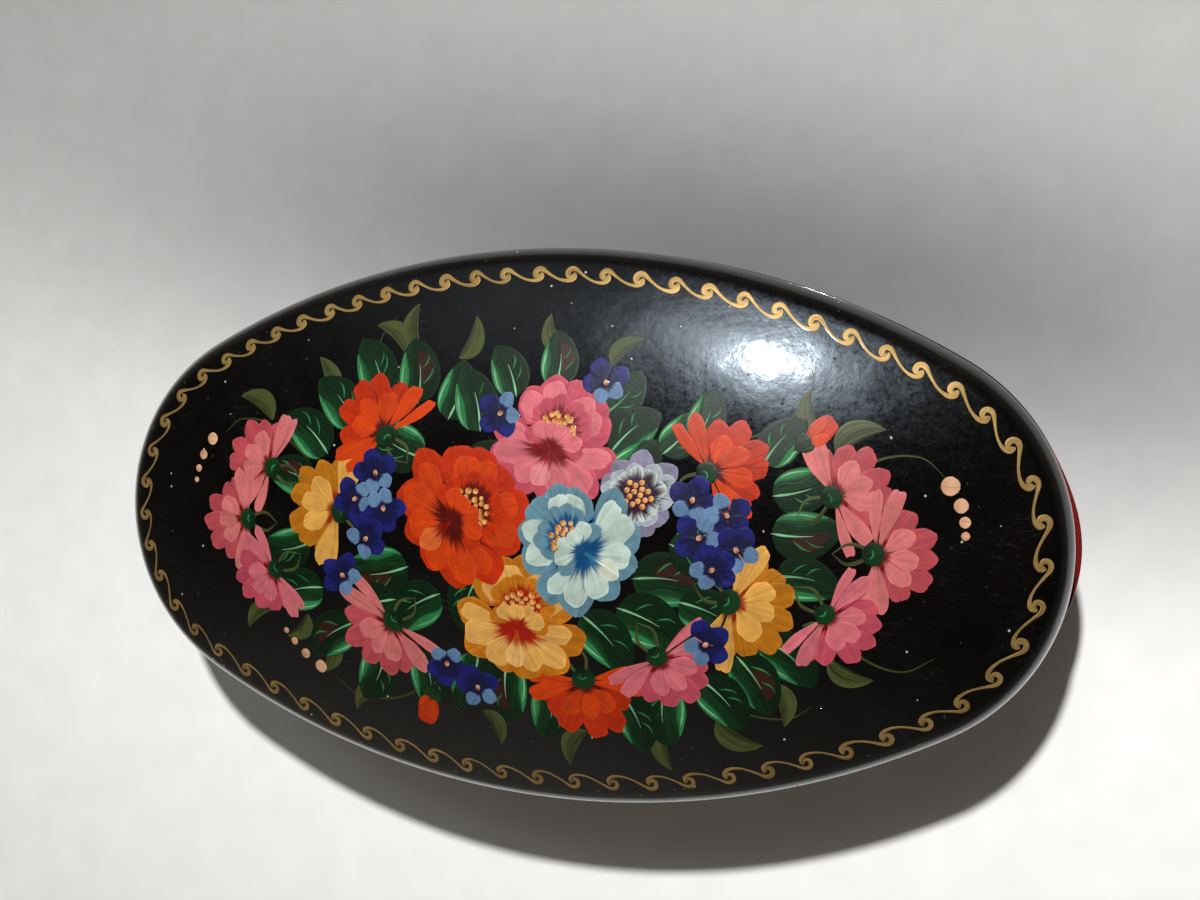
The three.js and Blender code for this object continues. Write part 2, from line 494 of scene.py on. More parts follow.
class Nodes:
    """A node tree, with short ways to add and join nodes."""

    def __init__(self, tree):
        self.nodes, self.links = tree.nodes, tree.links

    def add(self, kind, inputs=None, **settings):
        node = self.nodes.new(kind)
        for key, value in settings.items():
            setattr(node, key, value)
        for key, value in (inputs or {}).items():
            self.plug(node.inputs[key], value)
        return node

    def get(self, kind, output, inputs=None, **settings):
        """One output of a new node."""
        return Field(self, self.add(kind, inputs, **settings).outputs[output])

    def plug(self, socket, value):
        value = getattr(value, "socket", value)
        if isinstance(value, bpy.types.NodeSocket):
            self.links.new(value, socket)
        else:
            socket.default_value = value

    def math(self, operation, first, second=0.0):
        return self.get("ShaderNodeMath", 0, {0: first, 1: second}, operation=operation)

    def ramp(self, value, low, high, to_low=0.0, to_high=1.0, smooth=False):
        names = ("Value", "From Min", "From Max", "To Min", "To Max")
        inputs = dict(zip(names, (value, low, high, to_low, to_high)))
        kind = "SMOOTHSTEP" if smooth else "LINEAR"
        return self.get("ShaderNodeMapRange", "Result", inputs, interpolation_type=kind)


class Shader(Nodes):
    """A material's node tree, with its surface and the nodes that surfaces need."""

    def __init__(self, name):
        self.material = bpy.data.materials.new(name)
        self.material.use_nodes = True
        super().__init__(self.material.node_tree)
        self.place = self.get("ShaderNodeTexCoord", "Object")

    def set(self, **values):
        """Sets the surface's own sockets, with _ for each space in their names."""
        for key, value in values.items():
            self.plug(self.nodes["Principled BSDF"].inputs[key.replace("_", " ")], value)

    def noise(self, size, detail=2, roughness=0.5, place=None, distortion=0):
        inputs = {
            "Vector": place or self.place,
            "Scale": 1 / size,
            "Detail": detail,
            "Roughness": roughness,
            "Distortion": distortion,
        }
        return self.get("ShaderNodeTexNoise", "Fac", inputs)

    def mix(self, share, first, second):
        return self.get("ShaderNodeMix", 2, {0: share, 6: first, 7: second}, data_type="RGBA")

    def tint(self, colour, tone):
        return self.get("ShaderNodeVectorMath", 0, {0: colour, "Scale": tone}, operation="SCALE")

    def length(self, vector):
        return self.get("ShaderNodeVectorMath", "Value", {0: vector}, operation="LENGTH")

    def bump(self, height, distance, normal=None):
        inputs = {"Height": height, "Distance": distance, "Strength": 1.0}
        if normal:
            inputs["Normal"] = normal
        return self.get("ShaderNodeBump", "Normal", inputs)

    def stretch(self, place, scale):
        return self.get("ShaderNodeMapping", 0, {"Vector": place, "Scale": scale})

    def attribute(self, name, output="Color"):
        return self.get("ShaderNodeAttribute", output, attribute_name=name)


def make_lacquer(name, colour, deep_colour, haze, dust_share):
    """Gloss lacquer over sheet: a clear top coat over a hazier body, faint orange peel, fine
    scratches, pits, specks of dust, and bare metal where the wear attribute allows."""
    s = Shader(name)
    patches = s.noise(PATCH_SIZE, detail=4, roughness=0.6)
    blotches = s.noise(BLOTCH_SIZE, detail=4, roughness=0.7)
    grain = s.noise(GRAIN_SIZE, roughness=0.6)
    scuff_place = s.stretch(s.place, SCUFF_STRETCH)
    scuffs = s.noise(SCUFF_SIZE, detail=3, place=scuff_place, distortion=0.6)
    scratch = s.ramp(abs(scuffs - 0.5), 0, SCRATCH_WIDTH, 1, 0) * s.ramp(patches, 0.5, 0.62)
    cells = s.add("ShaderNodeTexVoronoi", {"Vector": s.place, "Scale": 1 / SPECK_CELL}).outputs
    pick = s.get("ShaderNodeSeparateColor", 0, {0: cells["Color"]})
    spot = s.ramp(cells["Distance"], 0.08, 0.13, 1, 0)
    speck = spot * s.math("GREATER_THAN", pick, 1 - dust_share)
    pit = spot * s.math("LESS_THAN", pick, dust_share * 2)
    wear = s.attribute("wear", "Fac") * s.noise(WEAR_SIZE, detail=5, roughness=0.7)
    bare = s.ramp(wear, 0.6, 0.66)
    body = s.mix(s.ramp(patches, 0.35, 0.7), (*deep_colour, 1), (*colour, 1))
    body = s.mix(scratch * 0.12, body, (0.12, 0.12, 0.12, 1))
    body = s.mix(speck * 0.9, body, DUST_COLOUR)
    body = s.mix(bare, body, BARE_COLOUR)
    rough = s.ramp(blotches + grain * 0.6, 0.55, 1.05, haze - 0.06, haze + 0.12)
    rough = s.math("MINIMUM", rough + speck * 0.4 + bare * 0.3, 1.0)
    normal = s.bump(s.noise(SWELL_SIZE, detail=1), SWELL_DEPTH)
    normal = s.bump(s.noise(PEEL_SIZE), PEEL_DEPTH, normal)
    normal = s.bump(grain, GRAIN_DEPTH, normal)
    normal = s.bump(speck - pit, SPECK_HEIGHT, normal)
    s.set(Base_Color=body, Roughness=rough, Normal=normal, Metallic=bare)
    s.set(Coat_Weight=1.0, Coat_Roughness=0.06, Coat_IOR=1.5, Coat_Normal=normal)
    s.set(Specular_IOR_Level=0.2, Specular_Tint=(0.72, 0.86, 1, 1))
    return s.material


def make_paint(name, roughness, metallic, streak_strength, pile_strength, coat):
    """Brush paint. Each stroke goes over from its dark to its light colour in bristle marks
    that run along it, and is piled up a little at its rim. The stroke attribute holds the
    place along and across it, and a seed. The rim attribute goes to 1 at its sides and tip."""
    s = Shader(name)
    stroke = s.attribute("stroke", "Vector")
    fine = s.noise(1, place=s.stretch(stroke, FINE_BRISTLES))
    broad = s.noise(1, detail=1, place=s.stretch(stroke, BROAD_BRISTLES))
    ridges = s.noise(1, place=s.stretch(stroke, RIDGES))
    streak = fine * 0.5 + broad * 0.5
    blend = s.attribute("blend", "Fac")
    rise = (streak - 0.5) * BRISTLE_DRAW * (blend * (1.0 - blend))
    blend = s.ramp(blend + rise, 0.2, 0.8, smooth=True)
    pile = s.ramp(s.attribute("rim", "Fac"), 0.84, 0.98) * s.noise(PILE_SIZE)
    tone = s.ramp(streak, 0.3, 0.7, 1 - streak_strength, 1 + streak_strength)
    tone = tone * s.ramp(ridges, 0.3, 0.7, 0.975, 1.025)
    tone = tone * s.ramp(s.noise(THIN_SIZE, detail=3), 0.3, 0.7, 0.86, 1.12)
    tone = tone + pile * pile_strength
    colour = s.mix(blend, s.attribute("dark"), s.attribute("light"))
    s.set(Base_Color=s.tint(colour, tone), Normal=s.bump(streak + ridges * 0.5 + pile, STROKE_DEPTH))
    s.set(Roughness=roughness, Metallic=metallic, Coat_Weight=coat, Coat_Roughness=0.12)
    s.set(Specular_IOR_Level=0.25)
    return s.material


def make_floor_material():
    """A pale floor with a faint grain. Its colour is painted darker towards the lamp and in a
    dim oval place beyond the box: painted shade. Far off it goes over into the sky's colour.
    The camera and mirrors see it paler than the rest of the light does."""
    s = Shader("pale_floor")
    towards_lamp = s.get("ShaderNodeSeparateXYZ", "Y", {0: s.place})
    # Painted shade: the floor's colour is darker towards the back, on the lamp side.
    painted_back_shade = s.ramp(towards_lamp, FLOOR_NEAR, FLOOR_FAR, smooth=True)
    edge_share = s.ramp(s.length(s.place), FLOOR_EDGE_START, FLOOR_EDGE_END)
    colour = s.mix(painted_back_shade, FLOOR_NEAR_COLOUR, FLOOR_SHADED_FAR_COLOUR)
    colour = s.mix(edge_share, colour, FLOOR_EDGE_COLOUR)
    # Painted shadow: the floor's colour is darkened in an oval place beyond the box.
    shade_place = {
        "Vector": s.place,
        "Location": FLOOR_SHADE_PLACE,
        "Rotation": (0, 0, FLOOR_SHADE_TURN),
        "Scale": FLOOR_SHADE_REACH,
    }
    away = s.length(s.get("ShaderNodeMapping", 0, shade_place, vector_type="TEXTURE"))
    shade = s.ramp(away, 0, 1, FLOOR_SHADE_SHARE, 1, smooth=True)
    grain = s.ramp(s.noise(FLOOR_GRAIN, detail=6, roughness=0.6), 0.3, 0.7, 0.96, 1.04)
    ray = s.add("ShaderNodeLightPath").outputs
    seen = s.math("MAXIMUM", ray["Is Camera Ray"], ray["Is Glossy Ray"])
    colour = s.tint(colour, shade * grain * s.ramp(seen, 0, 1, 1, FLOOR_SEEN))
    s.set(Base_Color=colour, Roughness=0.9, Specular_IOR_Level=0.2)
    return s.material


# Brush strokes


# What each place in a stroke is marked with: the attribute's kind and field.
MARKS = {
    "stroke": ("FLOAT_VECTOR", "vector"),
    "blend": ("FLOAT", "value"),
    "rim": ("FLOAT", "value"),
    "light": ("FLOAT_COLOR", "color"),
    "dark": ("FLOAT_COLOR", "color"),
}


class Painting:
    """Strokes that lie on a carrier's skin, each over those painted before it. The heights of
    the paint so far are kept in square cells, and a stroke follows the highest round it."""

    def __init__(self, carrier):
        mesh = carrier.data
        points = [v.co.copy() for v in mesh.vertices]
        self.tree = BVHTree.FromPolygons(points, [tuple(p.vertices) for p in mesh.polygons])
        self.heights = np.full((2 * STACK_HALF, 2 * STACK_HALF), FIRST_COAT)
        self.clear()

    def clear(self):
        self.plans, self.lifts, self.faces, self.count = [], [], [], 0
        self.marks = {key: [] for key in MARKS}

    def cells_of(self, plan):
        return tuple((np.floor(plan / STACK_CELL).astype(int) + STACK_HALF).reshape(-1, 2).T)

    def height_round(self, plan):
        """The highest paint so far round each place of a plan, as far round as its faces
        are long."""
        columns, rows = self.cells_of(plan)
        sides = [np.linalg.norm(np.diff(plan, axis=axis), axis=2).max() for axis in (0, 1)]
        reach = min(STACK_REACH, round(max(sides) / STACK_CELL))
        steps = range(-reach, reach + 1)
        near = [self.heights[columns + x, rows + y] for x in steps for y in steps]
        return np.max(near, axis=0).reshape(plan.shape[:2])

    def raise_cells(self, plan, lift):
        """Raises the cells that a stroke covers, at STACK_SHARES of each side of its faces."""
        for a in STACK_SHARES:
            for b in STACK_SHARES:
                places, heights = (
                    grid[:-1, :-1] * (1 - a) * (1 - b) + grid[1:, :-1] * a * (1 - b)
                    + grid[:-1, 1:] * (1 - a) * b + grid[1:, 1:] * a * b
                    for grid in (plan, lift)
                )
                np.maximum.at(self.heights, self.cells_of(places), heights.reshape(-1))

    def add(self, plan, blend, light, dark, relief, grain):
        """One stroke: a grid of places in the plan, blend from dark to light at each. A wall
        goes down from its rim into the carrier."""
        rows, columns = plan.shape[:2]
        across = np.linspace(-1, 1, columns)[None, :]
        along = np.linspace(-1, 1, rows)[:, None]
        dome = np.sqrt(np.clip(1 - across**2, 0, 1)) * np.sqrt(np.clip(1 - along**4, 0, 1))
        lift = self.height_round(plan) + COAT + relief * dome
        self.raise_cells(plan, lift)
        index = np.arange(rows * columns).reshape(rows, columns)
        rim = np.concatenate([index[0, :-1], index[:-1, -1], index[-1, :0:-1], index[:0:-1, 0]])
        foot = index.size + np.arange(len(rim))
        quads = np.stack([index[:-1, :-1], index[:-1, 1:], index[1:, 1:], index[1:, :-1]], axis=-1)
        walls = np.stack([np.roll(rim, -1), rim, foot, np.roll(foot, -1)], axis=-1)
        self.faces += [self.count + quads.reshape(-1, 4), self.count + walls]

        def with_foot(values, *shape):
            flat = np.reshape(values, (-1, *shape))
            return np.concatenate([flat, flat[rim]])

        self.plans.append(with_foot(plan, 2))
        self.lifts.append(np.append(lift, np.full(len(rim), -SINK)))
        self.marks["blend"].append(with_foot(np.broadcast_to(blend, (rows, columns))))
        self.marks["rim"].append(with_foot(np.maximum(np.abs(across), along)))
        self.marks["stroke"].append(with_foot(grain, 3))
        total = index.size + len(rim)
        self.marks["light"].append(np.tile([*light, 1], (total, 1)))
        self.marks["dark"].append(np.tile([*dark, 1], (total, 1)))
        self.count += total

    def grain_of(self, plan, width=None):
        """The place along and across the stroke, in metres, and a seed of its own."""
        rows, columns = plan.shape[:2]
        middle = plan[:, columns // 2]
        steps = np.linalg.norm(np.diff(middle, axis=0), axis=1)
        along = np.concatenate([[0], np.cumsum(steps)])[:, None]
        width = width or np.linalg.norm(plan[:, -1] - plan[:, 0], axis=1).max()
        across = np.linspace(-0.5, 0.5, columns)[None, :] * width
        seed = rng.uniform(0, 50)
        parts = np.broadcast_arrays(along, across, np.full((rows, columns), seed))
        return np.stack(parts, axis=-1)

    def drape(self):
        """Lays the places in the plan on the carrier's skin."""
        plans, lifts = np.concatenate(self.plans), np.concatenate(self.lifts)
        down = Vector((0, 0, -1))
        above = LID_FOOT + 2 * LID_HEIGHT
        points = np.empty((len(plans), 3))
        for number, ((x, y), lift) in enumerate(zip(plans.tolist(), lifts.tolist())):
            place, normal, _, _ = self.tree.ray_cast(Vector((x, y, above)), down)
            points[number] = place + normal * lift
        return points

    def finish(self, name, material):
        """Makes one piece of the strokes so far, which rides on the lid."""
        points, faces = self.drape(), np.concatenate(self.faces).tolist()
        piece = make_mesh(name, points, faces, [material], np.zeros(len(faces)))
        for key, (kind, field) in MARKS.items():
            values = np.concatenate(self.marks[key]).astype(np.float32)
            piece.data.attributes.new(key, kind, "POINT").data.foreach_set(field, values.ravel())
        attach(piece, "lid")
        self.clear()


def smooth_line(points, steps):
    """A smooth line through some points, by a uniform Catmull-Rom curve."""
    points = np.asarray(points, float)
    padded = np.concatenate([[2 * points[0] - points[1]], points, [2 * points[-1] - points[-2]]])
    line = []
    for a, b, c, d in zip(padded, padded[1:], padded[2:], padded[3:]):
        for t in np.arange(steps) / steps:
            bend = (2 * a - 5 * b + 4 * c - d) * t**2 + (3 * b - a - 3 * c + d) * t**3
            line.append(b + ((c - a) * t + bend) / 2)
    return np.array([*line, points[-1]])


def ribbon_plan(line, widths, columns):
    """The plan of a thin stroke that follows a line."""
    along = np.gradient(line, axis=0)
    along /= np.linalg.norm(along, axis=1)[:, None]
    side = np.stack([-along[:, 1], along[:, 0]], axis=1)
    offsets = np.outer(widths, np.linspace(-0.5, 0.5, columns))
    return line[:, None] + side[:, None] * offsets[..., None]


def taper(count, thin, start, end):
    """How wide a stroke is along its length: thin at its ends, and full after the share
    start of its length until the share end is left."""
    u = np.linspace(0, 1, count)
    return np.minimum(1, thin + u / start) * np.minimum(1, thin + (1 - u) / end)


def hump(count, start, power):
    """A swell to 1 and back again. start is how far in from its feet it begins and ends."""
    return np.sin(math.pi * np.linspace(start, 1 - start, count)) ** power


def jitter(share, size=None):
    return rng.uniform(-share, share, size)


# Gold border

# One unit of the scroll, in shares of its pitch: along the border, outwards, and how full
# the brush is. It starts inside the curl, goes round over its top, falls to the next unit
# and hooks up round that one's curl.
SCROLL_SHARES = [
    (0.03, 0, 0.75), (0.015, -0.07, 0.95), (-0.05, -0.09, 1.1), (-0.115, -0.03, 1.18),
    (-0.11, 0.07, 1.18), (-0.03, 0.135, 1.15), (0.075, 0.13, 1), (0.175, 0.075, 0.78),
    (0.28, 0, 0.6), (0.4, -0.075, 0.53), (0.53, -0.145, 0.5), (0.67, -0.195, 0.54),
    (0.82, -0.22, 0.68), (0.965, -0.205, 0.92), (1.07, -0.13, 1.08), (1.095, -0.035, 0.95),
    (1.06, 0.03, 0.75),
]
BORDER_SWING_SHARE = 0.08
BORDER_SWING_START = math.radians(35)
BORDER_WIDTH_SWING_SHARE = 0.2
BORDER_WIDTH_SWING_START = math.radians(255)
BORDER_JITTER_SHARE = 0.04
BORDER_HEIGHT_SHARES = (0.92, 1.06)
BORDER_WIDTH_SHARES = (0.9, 1.1)
BORDER_TAPER_SHARES = (0.35, 1 / 4, 1 / 6)
BORDER_BLEND_SHARE = 0.6
BORDER_COLUMNS = 6
BORDER_STEPS = 4


def paint_border(painting, light, dark):
    """The running scroll, painted clockwise. Its pitch swings a little round the lid."""
    oval = make_oval()
    ways = (ring(oval, BORDER_INSET, 0)[::-1, :2], oval["direction"][::-1])
    track, outward = (np.concatenate([way, way[:1]]) for way in ways)
    lengths = np.append(0, np.cumsum(np.linalg.norm(np.diff(track, axis=0), axis=1)))
    turns = np.arange(BORDER_UNITS) / BORDER_UNITS * TURN
    pitches = 1 + BORDER_SWING_SHARE * np.cos(turns - BORDER_SWING_START)
    pitches *= 1 + jitter(BORDER_JITTER_SHARE, BORDER_UNITS)
    pitches *= lengths[-1] / pitches.sum()
    starts = np.append(0, np.cumsum(pitches))
    fulness = 1 + BORDER_WIDTH_SWING_SHARE * np.cos(turns - BORDER_WIDTH_SWING_START)
    shape = smooth_line(SCROLL_SHARES, BORDER_STEPS)
    widths = BORDER_WIDTH * shape[:, 2] * taper(len(shape), *BORDER_TAPER_SHARES)
    for start, pitch, full in zip(starts, pitches, fulness):
        height = pitch * rng.uniform(*BORDER_HEIGHT_SHARES)
        at = (start + shape[:, 0] * pitch) % lengths[-1]
        middle, out = (
            np.stack([np.interp(at, lengths, way[:, k]) for k in (0, 1)], axis=1)
            for way in (track, outward)
        )
        line = middle + out * (shape[:, 1] * height)[:, None]
        full *= rng.uniform(*BORDER_WIDTH_SHARES)
        plan = ribbon_plan(line, widths * full, BORDER_COLUMNS)
        grain = painting.grain_of(plan)
        painting.add(plan, BORDER_BLEND_SHARE, light, dark, BORDER_RELIEF, grain)


# Bouquet

# Every place and size here is a share of the lid's half length, and every direction a share
# of a full turn, anticlockwise from the right-hand end.
REACH = LID_LENGTH / 2

TONE_STEPS = ("deep", "dark", "mid", "light", "pale")
TONES = {
    "red": "#540802 #7C0E02 #B42B04 #C63C08 #D2602C",
    "pink": "#720A12 #962432 #B84858 #CE6A72 #DC8486",
    "coral": "#6E0C0E #94282E #B2484E #CE706E #DC807C",
    "yellow": "#9E1808 #AA440A #BA6E12 #D49E50 #E4B066",
    "amber": "#8C2806 #9E540A #B06C12 #D49C48 #E0AC5A",
    "ice": "#084A78 #286488 #5E8492 #B4C6BA #CED4C0",
    "lilac": "#2C102C #563052 #7E788E #A0A8AE #BEC6C0",
    "blue": "#0A0A2A #11133E #1A1D66 #5E7C9E #7892AC",
    "leaf": "#021406 #04200A #0D3416 #2C7C46 #80B68A",
    "olive": "#1A200E #282E14 #3A421E #464E26 #5C643C",
    "peach": "#8A5236 #B87C54 #CE9672 #DAA884 #E6C0A0",
    "pollen": "#783404 #AC5C14 #C07A2C #D08E46 #DEA460",
    "brown": "#0C180A #20140C #341A10 #46241A #5C3828",
}
TONE_JITTER_SHARE = 0.1

PETAL_ROWS = 14
PETAL_COLUMNS = 17
PETAL_ROOT_SHARE = 0.12
PETAL_NECK_SHARE = 0.8
PETAL_TIP_SHARE = 0.95
PETAL_DOME_SHARE = 0.6
PETAL_CLOSING_SHARE = 0.12
PETAL_SHADE_SHARE = 0.42
PETAL_SIDE_SHARE = 0.5
PETAL_WAVE_SHARE = 0.02
PETAL_RIPPLES = 4
PETAL_FRAY_SHARE = 0.005
PETAL_JITTER_SHARE = 0.04

LINE_STEPS = 6
LINE_COLUMNS = 4
LINE_THIN_SHARE = 0.12
LINE_BLEND_SHARE = 0.7
PALE_LINE_SHARE = 0.0035
VEIN_SHARE = 0.0048
STEM_SHARE = 0.0068
TENDRIL_SHARE = 0.006
DOT_ROWS = 11
DOT_COLUMNS = 9
DOT_START_SHARE = 0.02

# A leaf's form, then the marks on it: along it from and to, then across it from and to.
LEAF_ROWS = 19
LEAF_COLUMNS = 13
MARK_ROWS = 9
CRESCENT_ROWS = 15
LEAF_WIDTH_SHARE = 0.72
LEAF_BEND_SHARE = 0.25
LEAF_BASE_POWER = 0.45
LEAF_TIP_POWER = 0.7
LEAF_END_SHARES = (0.004, 0.996)
LEAF_BROWN_SHARES = (0.25, 0.8, -0.8, 0.1)
LEAF_CRESCENT_SHARES = (0.05, 0.82, 0.95, 0.33)
LEAF_EDGE_SHARES = (0.16, 0.66, 0.88, 0.78)
LEAF_RIB_SHARES = (-0.02, 0.58, 0, -0.06)
VEIN_START_SHARES = (0.26, 0.48)
VEIN_LENGTH_SHARES = (0.16, 0.26)
VEIN_ASIDE_SHARES = (0.2, 0.42, 0.58, 0.66)
VEIN_JITTER_SHARE = 0.05
SPRIG_WIDTH_SHARE = 0.36
SPRIG_STRAIGHT_SHARE = 0.15
SPRIG_BOW_SHARE = 0.35

# Rounds of petals, in the order of painting. Each round has the place of its roots, forwards
# of the flower's middle and aside, then its light and dark tone, and where along a petal the
# dark gives way to the light. Its petals follow: direction, length, width and bend. Forwards
# is where the flower faces. Lengths and places are shares of the flower's radius.
PEONY_BACK_SHARES = [
    ((-0.16, 0), "mid", "dark", 0.05, 0.8, [
        (0.31, 0.86, 0.62, 0.1), (0.69, 0.84, 0.64, -0.1), (0.41, 0.9, 0.64, 0.1),
        (0.595, 0.88, 0.6, 0), (0.5, 0.86, 0.62, 0.1),
    ]),
    ((-0.18, 0.02), "light", "dark", 0.2, 0.85, [
        (0.32, 0.72, 0.44, 0.1), (0.675, 0.72, 0.46, -0.1), (0.42, 0.76, 0.42, 0.1),
        (0.585, 0.74, 0.4, 0),
    ]),
    ((0.1, 0), "mid", "deep", 0.1, 0.7, [
        (0.23, 0.98, 0.56, 0.25), (0.775, 1, 0.54, -0.25), (0.145, 1, 0.62, 0.15),
        (0.86, 0.98, 0.66, -0.15), (0.06, 0.88, 0.6, 0), (0.955, 0.86, 0.62, 0),
    ]),
    ((0.12, 0), "light", "deep", 0.1, 0.66, [
        (0.24, 0.86, 0.34, 0.25), (0.76, 0.88, 0.34, -0.25), (0.165, 0.88, 0.42, 0.15),
        (0.835, 0.86, 0.44, -0.15),
    ]),
    ((-0.22, 0), "mid", "deep", 0.25, 0.95, [
        (0.27, 0.5, 0.34, 0.2), (0.73, 0.5, 0.34, -0.2), (0.365, 0.54, 0.36, 0.1),
        (0.64, 0.52, 0.36, -0.1), (0.455, 0.52, 0.34, 0), (0.55, 0.54, 0.34, 0),
    ]),
]
PEONY_FRONT_SHARES = [
    ((0.14, 0), "light", "deep", 0.1, 0.62, [(0.075, 0.76, 0.44, 0.1), (0.935, 0.74, 0.46, -0.1)]),
    ((0.14, 0), "mid", "deep", 0.15, 0.7, [(0.33, 0.5, 0.3, -0.3), (0.67, 0.5, 0.3, 0.3)]),
    ((0.12, 0), "light", "deep", 0.12, 0.62, [
        (0.375, 0.46, 0.3, -0.2), (0.625, 0.46, 0.3, 0.2), (0.45, 0.42, 0.3, 0), (0.55, 0.4, 0.32, 0),
    ]),
    ((0.16, 0), "pale", "dark", 0.1, 0.75, [(0.005, 0.64, 0.34, 0)]),
]
CARNATION_BACK_SHARES = [
    ((0.06, 0), "mid", "deep", 0.05, 0.55, [
        (0.235, 0.92, 0.36, -0.1), (0.77, 0.9, 0.36, 0.1), (0.16, 0.94, 0.46, 0),
        (0.845, 0.92, 0.46, 0), (0.085, 1, 0.5, 0), (0.925, 1, 0.48, 0), (0.005, 1.02, 0.46, 0),
    ]),
]
CARNATION_FRONT_SHARES = [
    ((0, 0), "light", "deep", 0.04, 0.36, [
        (0.285, 1.12, 0.22, -0.15), (0.715, 1.08, 0.24, 0.15), (0.225, 1.12, 0.34, -0.05),
        (0.775, 1.14, 0.32, 0.05),
    ]),
    ((0.04, 0), "light", "deep", 0.06, 0.42, [
        (0.12, 0.72, 0.42, 0), (0.9, 0.7, 0.44, 0), (0.01, 0.7, 0.4, 0),
    ]),
]
DIRECTION_JITTER_SHARE = 0.012
LENGTH_JITTER_SHARE = 0.06

# A dark hollow in a flower: forwards, radius, how narrow and how rough it is.
PEONY_HEART_SHARES = (-0.2, 0.3, 0.62, 0.1)
PEONY_VALLEY_SHARES = (0.13, 0.3, 0.3, 0.12)
CARNATION_VALLEY_SHARES = (0.1, 0.3, 0.3, 0.3)
PEONY_SQUASH_SHARE = 0.92
PEONY_STAMEN_SHARES = [
    # Forwards, aside.
    (-0.2, -0.26), (-0.29, -0.22), (-0.24, -0.16), (-0.36, -0.14), (-0.3, -0.08), (-0.4, -0.04),
    (-0.28, 0), (-0.36, 0.05), (-0.41, 0.11), (-0.29, 0.1), (-0.34, 0.18), (-0.24, 0.18),
    (-0.28, 0.25), (-0.18, 0.26), (-0.22, 0.05), (-0.22, -0.06),
]
STAMEN_RADIUS_SHARE = 0.0062
STAMEN_SIZE_SHARES = (0.8, 1.25)
STAMEN_NARROW_SHARE = 0.85
STAMEN_JITTER_SHARE = 0.02

# A carnation's stem, its bow and the cup under its petals, with a pale glint: aside, back.
CARNATION_STEM_SHARE = 0.08
STEM_BOW_SHARE = 0.3
STEM_BEND_SHARE = 0.6
CUP_PLACE_SHARE = 0.06
CUP_RADIUS_SHARE = 0.2
CUP_WIDTH_SHARE = 1.1
CUP_GLINT_SHARES = [(-0.1, 0.06), (-0.02, 0), (0.08, 0.03)]

# Rounds of an anemone: how far each is turned, its reach and its light tone.
ANEMONE_PETALS = 9
ANEMONE_ROUND_SHARES = [(0, 1, "mid"), (0.5, 0.84, "light"), (0.2, 0.66, "pale")]
ANEMONE_TURN_JITTER_SHARE = 0.15
ANEMONE_SQUASH_SHARE = 0.2
ANEMONE_LENGTH_SHARES = (0.92, 1.06)
ANEMONE_WIDTH_SHARE = 0.6
ANEMONE_BLEND_SHARES = (0.25, 0.9)
ANEMONE_EYE_SHARE = 0.3
ANEMONE_EYE_ROUGH_SHARE = 0.15
ANEMONE_STAMENS = 15
GOLDEN_TURN_SHARE = 0.382
BEND_JITTER_SHARE = 0.2

# A bluet's dark, then its pale petals: which they are, length, width and where the dark ends.
BLUET_PETALS = 5
BLUET_ROUND_SHARES = [((1, 4, 0), "mid", 1.05, 0.95, 1), ((2, 3), "light", 0.9, 0.72, 0.5)]
BLUET_TURN_JITTER_SHARE = 0.08
BLUET_START_SHARE = 0.2
BLUET_NECK_SHARE = 0.65
BLUET_PIT_SHARE = 0.17
BLUET_EYE_SHARE = 0.14
BLUET_EYE_NARROW_SHARE = 0.75
BLUET_RADIUS_SHARE = 0.047

# A bud's petals: turn in radians, length, width, tones, where the light starts and is full,
# and bend. Then the green leaves under it: their turns, length, width and place.
BUD_PETAL_SHARES = [
    (0, 1, 0.55, "mid", "dark", 0, 0.6, 0.1),
    (0.22, 0.86, 0.32, "light", "dark", 0.1, 0.7, 0),
    (-0.25, 0.7, 0.26, "light", "mid", 0.1, 0.9, 0),
]
SEPAL_TURNS = (-0.4, 0.38, 0)
SEPAL_LENGTH_SHARE = 0.45
SEPAL_WIDTH_SHARE = 0.2
SEPAL_PLACE_SHARE = 0.1
SEPAL_NECK_SHARE = 0.6
BEAD_ROUGH_SHARE = 0.03


def compass(angle):
    """The directions forth and left of an angle."""
    return heading(angle), heading(angle + QUARTER)


def span(distance, way):
    return np.asarray(distance)[..., None] * way


def leaf_swell(u):
    """How wide a pointed leaf is along its length, 1 at its widest."""
    widest = LEAF_BASE_POWER / (LEAF_BASE_POWER + LEAF_TIP_POWER)
    highest = widest**LEAF_BASE_POWER * (1 - widest) ** LEAF_TIP_POWER
    return u**LEAF_BASE_POWER * (1 - u) ** LEAF_TIP_POWER / highest


